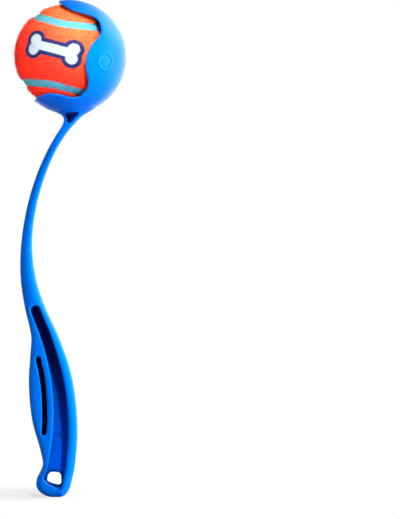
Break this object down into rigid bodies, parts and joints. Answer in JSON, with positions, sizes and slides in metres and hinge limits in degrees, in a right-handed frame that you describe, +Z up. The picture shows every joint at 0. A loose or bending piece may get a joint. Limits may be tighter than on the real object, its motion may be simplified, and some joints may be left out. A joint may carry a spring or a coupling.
{
  "type": "dog ball launcher",
  "caption": "Moulded throwing stick for a dog's ball: a cored handle with a hang hole, a slender curved stem and a clawed cup that holds a felt-covered ball until it is thrown.",
  "frame": {"origin": "middle of the hand grip, in the mid-plane of the moulding, at the mount hand_grip", "axes": "+Z up the stick toward the cup, +X to the back of the stick away from the mouth of the cup, +Y across the stick; looking along +Y gives the side view"},
  "size_m": [0.0714, 0.0696, 0.3195],
  "materials": {
    "blue_plastic": "satin moulded polypropylene, bright azure blue",
    "core_rubber": "dark moulded rubber, unseen inside the felt",
    "orange_felt": "short needled felt, orange",
    "seam_rubber": "matte rubber seam with small pinholes, light blue"
  },
  "bodies": {
    "launcher": {"launcher": "blue_plastic"},
    "ball": {"ball_core_front": "core_rubber", "ball_core_rear": "core_rubber", "felt_panel_front": "orange_felt", "felt_panel_rear": "orange_felt", "seam_band": "seam_rubber"}
  },
  "joints": [
    {"name": "ball_release", "type": "slide", "parent": "launcher", "child": "ball", "axis": [-0.9715, 0, 0.2368], "range_m": [0, 0.09]}
  ]
}
